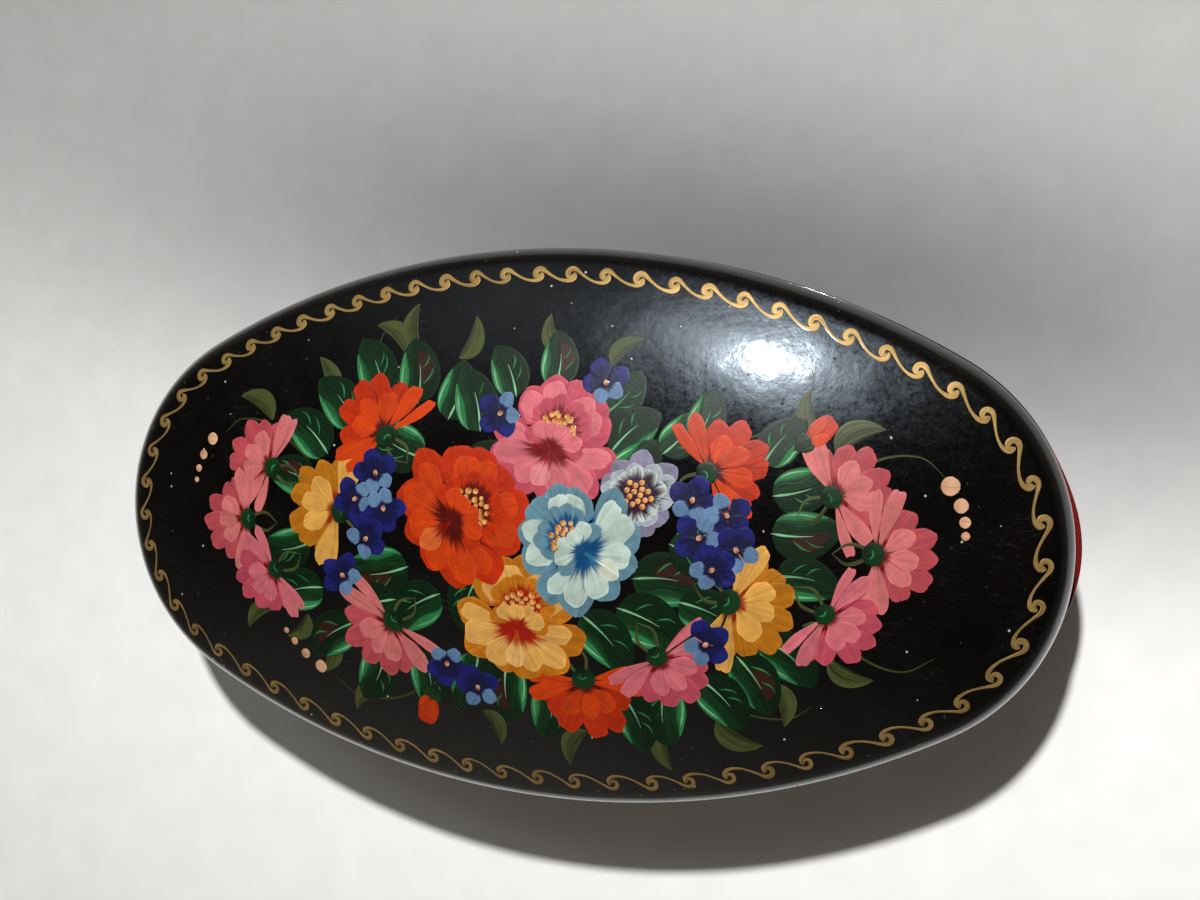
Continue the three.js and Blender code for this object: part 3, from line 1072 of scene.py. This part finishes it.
class Brush:
    """Paints strokes whose places and sizes are shares of the lid's half length. A hue is
    the name of a row of tones, and light and dark are the names of two of its tones."""

    def __init__(self, painting):
        self.painting = painting
        self.tones = {
            hue: dict(zip(TONE_STEPS, map(linear, codes.split()))) for hue, codes in TONES.items()
        }

    def lay(self, plan, blend, hue, light, dark, relief=RELIEF, width=None):
        plan = plan * REACH
        grain = self.painting.grain_of(plan, width and width * REACH)
        load = 1 + jitter(TONE_JITTER_SHARE)
        bright, deep = (np.array(self.tones[hue][tone]) * load for tone in (light, dark))
        self.painting.add(plan, blend, bright, deep, relief, grain)

    def petal(
        self, root, angle, length, width, hue, light, dark, start, end, bend=0,
        neck=PETAL_NECK_SHARE, flip=1,
    ):
        """One press of a flat brush, from its narrow root to its broad round tip. From start
        to end along it the dark root gives way to the light body. neck is the share of its
        length at which it comes to its full width."""
        u = np.linspace(0, 1, PETAL_ROWS)[:, None]
        v = np.linspace(-1, 1, PETAL_COLUMNS)
        swell = PETAL_ROOT_SHARE + (1 - PETAL_ROOT_SHARE) * ease(u, 0, neck)
        phase, slant = rng.uniform(0, TURN), jitter(PETAL_WAVE_SHARE)
        tip = length * (PETAL_WAVE_SHARE * np.cos(PETAL_RIPPLES * v + phase) + slant * v)
        dome = PETAL_TIP_SHARE * min(width / 2, length * PETAL_DOME_SHARE)
        tip = tip - dome * (1 - np.sqrt(1 - v**2))
        fray = length * rng.normal(0, PETAL_FRAY_SHARE, PETAL_COLUMNS) * (1 - v**2)
        along = length * u + tip * u**3 + fray * u**12
        aside = width / 2 * swell * (1 - PETAL_CLOSING_SHARE * u**4) * v + bend * length * u**2 / 2
        forth, left = compass(angle)
        shade = PETAL_SHADE_SHARE * v**6 * (1 + PETAL_SIDE_SHARE * v * flip) * (1 - u**2 / 2)
        blend = ease(u + jitter(PETAL_JITTER_SHARE), start, end) * (1 - shade)
        plan = root + span(along, forth) + span(aside, left)
        self.lay(plan, blend, hue, light, dark, width=width)

    def line(self, points, width, hue, light, dark, start=0.3, end=0.3):
        """A thin stroke, tapered over a start and an end share of its length."""
        track = smooth_line(points, LINE_STEPS)
        widths = width * taper(len(track), LINE_THIN_SHARE, start, end)
        self.lay(ribbon_plan(track, widths, LINE_COLUMNS), LINE_BLEND_SHARE, hue, light, dark)

    def dot(self, centre, radius, hue, light, dark, squeeze=1, angle=0, rough=0):
        """A drop of paint. rough makes its outline uneven."""
        u = np.linspace(DOT_START_SHARE, 1 - DOT_START_SHARE, DOT_ROWS)
        half = hump(DOT_ROWS, DOT_START_SHARE, 0.5) * squeeze * (1 + rough * jitter(1, DOT_ROWS))
        line = centre + span((u - 0.5) * 2 * radius, heading(angle))
        plan = ribbon_plan(line, 2 * radius * half, DOT_COLUMNS)
        relief = min(radius * REACH * DOT_RELIEF_SHARE, DOT_RELIEF)
        self.lay(plan, ease(u[:, None], -0.2, 0.9), hue, light, dark, relief)

    # Leaves

    def leaf(self, base, angle, length, browned, side):
        """An ovate leaf with a pointed tip, a bright edge along one side and a few veins."""
        forth, left = compass(angle)
        width = length * LEAF_WIDTH_SHARE
        bend = LEAF_BEND_SHARE * side

        def place(u, v):
            half = width / 2 * leaf_swell(np.clip(u, 0, 1))
            across = heading(angle + bend * (u - 0.5) + QUARTER)
            sag = bend * length * u * (1 - u)
            return base + span(length * u, forth) - span(sag, left) + span(half * v * side, across)

        def mark(shares, count):
            start, end, near, far = shares
            return place(np.linspace(start, end, count), np.linspace(near, far, count))

        u = np.linspace(*LEAF_END_SHARES, LEAF_ROWS)[:, None]
        v = np.linspace(-side, side, LEAF_COLUMNS)
        self.lay(place(u, v), ease(v, -1.4, 1.4) * (1 - u / 2), "leaf", "mid", "dark", width=width)
        if browned:
            start, end, near, far = LEAF_BROWN_SHARES
            u = np.linspace(start, end, MARK_ROWS)[:, None]
            v = np.linspace(near, far, MARK_ROWS) * hump(MARK_ROWS, 0.1, 0.6)[:, None]
            blend = hump(MARK_ROWS, 0.02, 0.7) * hump(MARK_ROWS, 0.02, 0.35)[:, None]
            self.lay(place(u, v), blend, "brown", "mid", "deep", width=width)
        start, end, near, far = LEAF_CRESCENT_SHARES
        u = np.linspace(start, end, CRESCENT_ROWS)[:, None]
        inward = np.linspace(0, 1, MARK_ROWS)
        v = near + (far - near) * hump(CRESCENT_ROWS, 0.03, 0.8)[:, None] * inward
        self.lay(place(u, v), ease(1 - inward, -0.1, 0.95), "leaf", "light", "mid", width=width)
        self.line(mark(LEAF_EDGE_SHARES, 5), PALE_LINE_SHARE, "leaf", "pale", "light")
        self.line(mark(LEAF_RIB_SHARES, 6), VEIN_SHARE, "leaf", "pale", "light", 0.2, 0.9)
        for start in VEIN_START_SHARES:
            start += jitter(VEIN_JITTER_SHARE)
            u = np.linspace(start, start + rng.uniform(*VEIN_LENGTH_SHARES), len(VEIN_ASIDE_SHARES))
            vein = place(u, -np.array(VEIN_ASIDE_SHARES))
            self.line(vein, VEIN_SHARE, "leaf", "light", "mid", 0.5, 0.9)

    def sprig(self, base, angle, length, side):
        """A small plain leaf of one dull stroke, nearly straight on one side."""
        forth, left = compass(angle)
        width = length * SPRIG_WIDTH_SHARE
        u = np.linspace(*LEAF_END_SHARES, LEAF_ROWS)[:, None]
        v = np.linspace(-SPRIG_STRAIGHT_SHARE, 1, MARK_ROWS)
        aside = (width * leaf_swell(u) * v + length * SPRIG_BOW_SHARE * u * (1 - u)) * side
        plan = base + span(length * u, forth) + span(aside, left)
        self.lay(plan, ease(v, -1, 1.4), "olive", "light", "dark", width=width)

    # Flowers

    def rounds(self, centre, radius, facing, hue, shares, flip=1, squash=1):
        """The petals of a flower from its table. flip mirrors it and squash flattens it
        along the way it faces."""
        forth, left = compass(facing)
        forth, left = forth * squash, left * flip
        for (forwards, aside), light, dark, start, end, petals in shares:
            root = centre + (forth * forwards + left * aside) * radius
            for direction, length, width, bend in petals:
                turn = TURN * (direction + jitter(DIRECTION_JITTER_SHARE))
                way = forth * math.cos(turn) + left * math.sin(turn)
                reach = radius * length * (1 + jitter(LENGTH_JITTER_SHARE)) * np.linalg.norm(way)
                self.petal(
                    root, math.atan2(way[1], way[0]), reach, radius * width, hue, light, dark,
                    start, end, bend * flip, flip=flip,
                )

    def hollow(self, centre, radius, facing, hue, shares):
        """A dark hollow across a flower, from which its petals rise."""
        forwards, size, narrow, rough = shares
        place = centre + heading(facing) * radius * forwards
        self.dot(place, radius * size, hue, "deep", "deep", narrow, facing + QUARTER, rough)

    def stamen(self, place, size, angle):
        radius = STAMEN_RADIUS_SHARE * size
        self.dot(place, radius, "pollen", "pale", "dark", STAMEN_NARROW_SHARE, angle)

    def peony(self, centre, radius, facing, hue, flip):
        """A full flower seen from the side: a bowl of petals round its heart, with stamens,
        and a skirt of petals that fall forwards."""
        forth, left = compass(facing)
        flower = (centre, radius, facing, hue)
        self.rounds(*flower, PEONY_BACK_SHARES, flip, PEONY_SQUASH_SHARE)
        self.hollow(*flower, PEONY_HEART_SHARES)
        for forwards, aside in PEONY_STAMEN_SHARES:
            place = forth * forwards + left * aside * flip + jitter(STAMEN_JITTER_SHARE, 2)
            self.stamen(centre + place * radius, rng.uniform(*STAMEN_SIZE_SHARES), facing)
        self.hollow(*flower, PEONY_VALLEY_SHARES)
        self.rounds(*flower, PEONY_FRONT_SHARES, flip, PEONY_SQUASH_SHARE)

    def anemone(self, centre, radius, facing, hue):
        """An open flower of three rounds of petals round a dark eye with stamens."""
        start, end = ANEMONE_BLEND_SHARES
        for offset, reach, light in ANEMONE_ROUND_SHARES:
            width = radius * ANEMONE_WIDTH_SHARE * reach
            for k in range(ANEMONE_PETALS):
                angle = TURN * (k + offset + jitter(ANEMONE_TURN_JITTER_SHARE)) / ANEMONE_PETALS
                squash = 1 - ANEMONE_SQUASH_SHARE * abs(math.sin(angle - facing))
                length = radius * reach * squash * rng.uniform(*ANEMONE_LENGTH_SHARES)
                bend = jitter(BEND_JITTER_SHARE)
                self.petal(centre, angle, length, width, hue, light, "deep", start, end / reach, bend)
        eye = radius * ANEMONE_EYE_SHARE
        self.dot(centre, eye, hue, "deep", "deep", rough=ANEMONE_EYE_ROUGH_SHARE)
        for k in range(ANEMONE_STAMENS):
            place = heading(k * TURN * GOLDEN_TURN_SHARE) * math.sqrt((k + 0.5) / ANEMONE_STAMENS)
            self.stamen(centre + place * eye, 1, facing)

    def carnation(self, calyx, angle, radius, hue, flip):
        """A flower seen from the side: dark petals behind, light ones in front, and a green
        cup on its stem."""
        forth, left = compass(angle)
        stem = -forth * CARNATION_STEM_SHARE
        bow = left * CARNATION_STEM_SHARE * STEM_BOW_SHARE * flip
        for share in (1, -STEM_BEND_SHARE):
            middle = calyx + stem * STEM_BEND_SHARE + bow * share
            points = [calyx, middle, calyx + stem + bow * STEM_BOW_SHARE]
            self.line(points, STEM_SHARE, "olive", "light", "dark", end=0.6)
        flower = (calyx, radius, angle, hue)
        self.rounds(*flower, CARNATION_BACK_SHARES, flip)
        self.hollow(*flower, CARNATION_VALLEY_SHARES)
        self.rounds(*flower, CARNATION_FRONT_SHARES, flip)
        cup = calyx - forth * radius * CUP_PLACE_SHARE
        size = radius * CUP_RADIUS_SHARE
        self.dot(cup, size, "leaf", "mid", "dark", CUP_WIDTH_SHARE, angle, 0.06)
        glint = [cup + (left * aside - forth * back) * radius for aside, back in CUP_GLINT_SHARES]
        self.line(glint, PALE_LINE_SHARE, "leaf", "light", "mid")

    def bluet(self, centre, angle):
        """A small flower of three dark and two pale petals round a bright eye."""
        radius = BLUET_RADIUS_SHARE
        for numbers, light, length, width, end in BLUET_ROUND_SHARES:
            for number in numbers:
                turn = TURN * (number + jitter(BLUET_TURN_JITTER_SHARE)) / BLUET_PETALS
                reach = radius * length * (1 + jitter(LENGTH_JITTER_SHARE))
                self.petal(
                    centre, angle + turn, reach, radius * width, "blue", light, "dark",
                    BLUET_START_SHARE, end, jitter(BEND_JITTER_SHARE), BLUET_NECK_SHARE,
                )
        self.dot(centre, radius * BLUET_PIT_SHARE, "blue", "deep", "deep")
        eye = radius * BLUET_EYE_SHARE
        self.dot(centre, eye, "peach", "mid", "deep", BLUET_EYE_NARROW_SHARE, angle)

    def bud(self, base, angle, length):
        for turn, reach, width, *rest in BUD_PETAL_SHARES:
            self.petal(base, angle + turn, length * reach, length * width, "red", *rest)
        foot = base - heading(angle) * length * SEPAL_PLACE_SHARE
        reach, width = length * SEPAL_LENGTH_SHARE, length * SEPAL_WIDTH_SHARE
        for turn in SEPAL_TURNS:
            self.petal(
                foot, angle + turn, reach, width, "leaf", "mid", "dark", 0, 1, neck=SEPAL_NECK_SHARE
            )

    def beads(self, points, size):
        for place, radius in zip(points, BEAD_RADIUS_SHARES):
            self.dot(place, radius * size, "peach", "light", "mid", rough=BEAD_ROUGH_SHARE)


# Places, then directions, of everything in the bouquet.
LEAF_SHARES = [
    # x, y, direction, length, browned
    (-0.4, 0.2, 0.38, 0.13, 0), (-0.34, 0.26, 0.33, 0.13, 0), (-0.26, 0.25, 0.28, 0.13, 1),
    (-0.19, 0.22, 0.22, 0.12, 0), (-0.12, 0.2, 0.31, 0.13, 0), (-0.05, 0.27, 0.33, 0.11, 0),
    (0.03, 0.29, 0.26, 0.11, 1), (0.13, 0.24, 0.14, 0.11, 0), (0.15, 0.17, 0.11, 0.12, 0),
    (0.25, 0.17, 0.15, 0.1, 0), (0.44, 0.16, 0.13, 0.11, 0), (0.46, 0.1, 0.06, 0.12, 0),
    (0.46, 0.03, 0.02, 0.13, 1), (0.47, -0.05, 0.97, 0.12, 0), (0.45, -0.17, 0.88, 0.13, 0),
    (0.4, -0.21, 0.83, 0.13, 1), (0.33, -0.26, 0.86, 0.13, 0), (0.26, -0.28, 0.76, 0.13, 0),
    (0.18, -0.31, 0.8, 0.12, 0), (0.03, -0.3, 0.72, 0.12, 0), (-0.06, -0.26, 0.76, 0.13, 1),
    (-0.12, -0.25, 0.68, 0.13, 0), (-0.24, -0.26, 0.75, 0.12, 0), (-0.33, -0.26, 0.67, 0.13, 0),
    (-0.4, -0.21, 0.6, 0.13, 1), (-0.47, -0.14, 0.55, 0.13, 0), (-0.5, -0.05, 0.52, 0.12, 0),
    (-0.49, 0.07, 0.46, 0.12, 1), (-0.46, 0.14, 0.4, 0.13, 0), (-0.27, -0.08, 0.52, 0.15, 1),
    (-0.2, -0.13, 0.6, 0.14, 0), (-0.24, 0.14, 0.42, 0.14, 0), (-0.03, 0.1, 0.42, 0.13, 0),
    (0.2, -0.07, 0.98, 0.15, 1), (0.17, -0.13, 0.92, 0.15, 0), (0.1, -0.15, 0.86, 0.14, 0),
    (0.27, 0, 0.98, 0.13, 0), (-0.11, -0.08, 0.7, 0.13, 0), (0.15, 0.1, 0.13, 0.13, 0),
    (-0.3, -0.15, 0.57, 0.13, 0), (0.29, -0.11, 0.93, 0.13, 0), (0.31, 0.2, 0.2, 0.1, 0),
]
SPRIG_SHARES = [
    (-0.3, 0.35, 0.4, 0.09), (-0.27, 0.36, 0.27, 0.09), (-0.18, 0.34, 0.2, 0.09),
    (0.04, 0.36, 0.32, 0.08), (0.14, 0.33, 0.12, 0.08), (0.54, 0.22, 0.3, 0.08),
    (0.57, 0.18, 0.08, 0.1), (0.57, -0.2, 0.93, 0.09), (0.46, -0.26, 0.8, 0.09),
    (0.36, -0.34, 0.92, 0.1), (0.1, -0.39, 0.68, 0.09), (-0.12, -0.37, 0.82, 0.08),
    (-0.34, -0.35, 0.6, 0.09), (-0.46, -0.24, 0.7, 0.09), (-0.6, 0.2, 0.42, 0.1),
    (-0.47, 0.24, 0.3, 0.1), (-0.6, -0.2, 0.6, 0.08), (-0.51, -0.2, 0.62, 0.08),
    (0.26, -0.38, 0.77, 0.08), (0.52, -0.14, 0.86, 0.08),
]
TENDRIL_SHARES = [
    [(-0.25, 0.24), (-0.33, 0.31), (-0.36, 0.37), (-0.33, 0.42)],
    [(0.4, 0.2), (0.48, 0.24), (0.52, 0.3), (0.51, 0.36)],
    [(0.3, -0.26), (0.4, -0.32), (0.49, -0.33), (0.54, -0.3)],
    [(-0.2, -0.3), (-0.3, -0.36), (-0.4, -0.37), (-0.46, -0.33)],
    [(-0.5, 0.12), (-0.6, 0.19), (-0.68, 0.2), (-0.72, 0.17)],
    [(0.55, 0.1), (0.64, 0.17), (0.72, 0.18), (0.77, 0.14)],
    [(0.54, -0.1), (0.62, -0.19), (0.7, -0.22), (0.76, -0.19)],
]
BEAD_SHARES = [
    [(-0.755, 0.155), (-0.778, 0.12), (-0.79, 0.09), (-0.795, 0.065)],
    [(0.775, 0.13), (0.795, 0.095), (0.803, 0.065), (0.805, 0.04)],
    [(-0.49, -0.315), (-0.525, -0.29), (-0.55, -0.265), (-0.568, -0.243)],
]
BEAD_RADIUS_SHARES = [0.0175, 0.0135, 0.0105, 0.008]
BEAD_SIZE_SHARES = [0.76, 1, 0.8]
CARNATION_SHARES = [
    # x, y, direction, radius, tones
    (-0.6, 0.105, 0.43, 0.1, "coral"), (-0.66, -0.01, 0.51, 0.1, "coral"),
    (-0.59, -0.115, 0.6, 0.095, "pink"), (0.57, 0.105, 0.08, 0.1, "coral"),
    (0.65, 0, 0.99, 0.105, "coral"), (0.565, -0.12, 0.9, 0.095, "pink"),
    (-0.43, 0.025, 0.46, 0.115, "amber"), (0.39, -0.105, 0.95, 0.115, "amber"),
    (-0.33, 0.185, 0.36, 0.11, "red"), (0.1, -0.285, 0.78, 0.11, "red"),
    (0.34, 0.14, 0.09, 0.105, "red"), (-0.31, -0.2, 0.64, 0.11, "coral"),
    (0.25, -0.225, 0.85, 0.1, "pink"),
]
BUD_SHARES = [
    # x, y, direction, length
    (0.5, 0.19, 0.1, 0.085), (-0.22, -0.33, 0.68, 0.09),
]
BLOSSOM_SHARES = [
    # x, y, direction, radius, tones, and 1 or -1 to mirror a peony. 0 is an anemone.
    (-0.03, -0.17, 0.72, 0.135, "yellow", 1), (0.035, 0.185, 0.7, 0.132, "pink", -1),
    (0.205, 0.09, 0.1, 0.095, "lilac", 0), (-0.155, 0.03, 0.6, 0.148, "red", 1),
    (0.09, -0.015, 0.9, 0.13, "ice", -1),
]
BLUET_SHARES = [
    (-0.345, 0.105, 0.3), (-0.39, 0.05, 0.55), (-0.325, 0.035, 0.8), (-0.365, -0.03, 0.1),
    (-0.42, -0.11, 0.4), (0.31, 0.085, 0.2), (0.375, 0.06, 0.9), (0.325, 0.015, 0.6),
    (0.395, -0.005, 0.35), (0.34, -0.19, 0.1), (-0.19, -0.275, 0.75),
    (-0.125, -0.32, 0.3), (0.13, 0.3, 0.3), (-0.08, 0.235, 0.6), (0.35, -0.045, 0.1),
]


def paint_bouquet(brush):
    """Paints the bouquet from the back to the front, and names each part when it is done."""
    for points in TENDRIL_SHARES:
        brush.line(points, TENDRIL_SHARE, "olive", "mid", "deep", 0.15, 0.9)
    for x, y, direction, length in SPRIG_SHARES:
        brush.sprig((x, y), direction * TURN, length, rng.choice([-1, 1]))
    for x, y, direction, length, browned in LEAF_SHARES:
        brush.leaf((x, y), direction * TURN, length, browned, rng.choice([-1, 1]))
    yield "leaves"
    for x, y, direction, radius, hue in CARNATION_SHARES:
        brush.carnation((x, y), direction * TURN, radius, hue, rng.choice([-1, 1]))
    for x, y, direction, length in BUD_SHARES:
        brush.bud((x, y), direction * TURN, length)
    yield "carnations"
    for x, y, direction, radius, hue, flip in BLOSSOM_SHARES:
        if flip:
            brush.peony((x, y), radius, direction * TURN, hue, flip)
        else:
            brush.anemone((x, y), radius, direction * TURN, hue)
    yield "blossoms"
    for x, y, direction in BLUET_SHARES:
        brush.bluet((x, y), direction * TURN)
    for points, size in zip(BEAD_SHARES, BEAD_SIZE_SHARES):
        brush.beads(points, size)
    yield "bluets"


# Camera, lamps and floor


def make_camera():
    data = bpy.data.cameras.new("camera")
    data.lens = CAMERA_LENS
    data.sensor_width = CAMERA_SENSOR
    data.clip_start = CAMERA_PLACE.z / 100
    camera = bpy.data.objects.new("camera", data)
    bpy.context.scene.collection.objects.link(camera)
    bpy.context.scene.camera = camera
    back = (CAMERA_PLACE - CAMERA_AIM).normalized()
    right = CAMERA_UP.cross(back).normalized()
    turn = Matrix((right, back.cross(right), back)).transposed().to_4x4()
    camera.matrix_world = Matrix.Translation(CAMERA_PLACE) @ turn


def make_lamp():
    """A round area lamp, small enough for the shadow's edge to be crisp."""
    data = bpy.data.lights.new("lamp", "AREA")
    data.shape = "DISK"
    data.size = LAMP_SIZE
    data.energy = LAMP_POWER
    lamp = bpy.data.objects.new("lamp", data)
    bpy.context.scene.collection.objects.link(lamp)
    lamp.location = LAMP_AIM + LAMP_DIRECTION.normalized() * LAMP_DISTANCE
    lamp.rotation_mode = "QUATERNION"
    lamp.rotation_quaternion = LAMP_DIRECTION.to_track_quat("Z", "Y")


def make_sky():
    """A plain soft sky, brighter at the horizon and in a few lobes."""
    world = bpy.data.worlds.new("soft_sky")
    bpy.context.scene.world = world
    world.use_nodes = True
    s = Nodes(world.node_tree)
    place = s.get("ShaderNodeTexCoord", "Generated")
    height = s.get("ShaderNodeSeparateXYZ", "Z", {0: place})
    falls = (HORIZON_TOP, ZENITH_FOOT, HORIZON_STRENGTH, ZENITH_STRENGTH)
    sky = s.nodes["Background"]
    s.plug(sky.inputs["Color"], SKY_COLOUR)
    s.plug(sky.inputs["Strength"], s.ramp(height, *falls, smooth=True))
    light = sky.outputs[0]
    for direction, colour, strength, narrowness in SKY_LOBES:
        ways = {0: place, 1: direction.normalized()}
        nearness = s.get("ShaderNodeVectorMath", "Value", ways, operation="DOT_PRODUCT")
        swell = s.math("POWER", s.math("MAXIMUM", nearness), narrowness) * strength
        lobe = s.get("ShaderNodeBackground", 0, {"Color": colour, "Strength": swell})
        light = s.get("ShaderNodeAddShader", 0, {0: light, 1: lobe})
    s.plug(s.nodes["World Output"].inputs["Surface"], light)


def make_floor():
    half = FLOOR_SIZE / 2
    corners = np.array([(-half, -half, 0), (half, -half, 0), (half, half, 0), (-half, half, 0)])
    floor = make_mesh("floor", corners, [[0, 1, 2, 3]], [make_floor_material()], [0])


# Assembly

bpy.context.scene.view_settings.view_transform = "Standard"
make_camera()
make_lamp()
make_sky()
make_floor()

black = make_lacquer("black_lacquer", *BLACK_LACQUER)
red = make_lacquer("red_lacquer", *RED_LACQUER)
lid = make_lid(black, red)
make_base(black, red)
make_collar(red)

painting = Painting(lid)
gold_paint = make_paint("gold_paint", *GOLD_PAINT)
paint_border(painting, linear(GOLD_LIGHT), linear(GOLD_DARK))
painting.finish("gold_border", gold_paint)
flower_paint = make_paint("flower_paint", *FLOWER_PAINT)
for part in paint_bouquet(Brush(painting)):
    painting.finish("bouquet_" + part, flower_paint)
